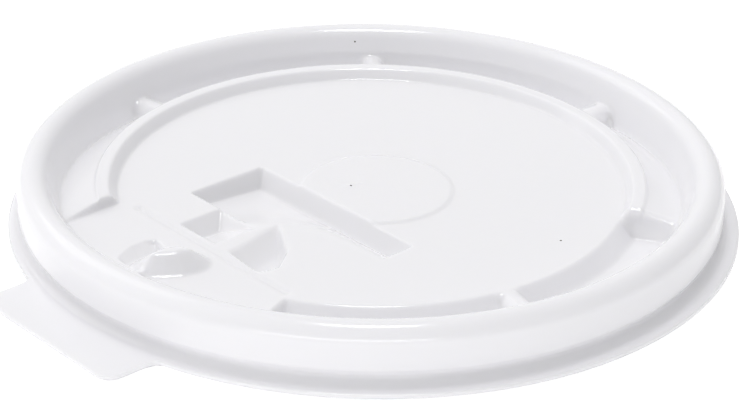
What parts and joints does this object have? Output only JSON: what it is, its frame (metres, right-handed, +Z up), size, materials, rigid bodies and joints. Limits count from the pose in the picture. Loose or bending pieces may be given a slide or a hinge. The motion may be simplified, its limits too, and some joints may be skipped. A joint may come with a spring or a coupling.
{
  "type": "coffee cup lid",
  "caption": "Round white tear-back lid for a hot drink cup, formed in one piece from thin plastic, with a rounded rim, a moat, a raised ring and a pull tab.",
  "frame": {"origin": "bottom centre of the lid's bounding box, on the plane of the flange's underside", "axes": "+Z up out of the lid's top face, -Y towards the pull tab, +X to the right when the tab points at the viewer"},
  "size_m": [0.095, 0.1004, 0.008],
  "materials": {
    "white_plastic": "satin"
  },
  "bodies": {
    "root": {"lid": "white_plastic"}
  },
  "joints": []
}
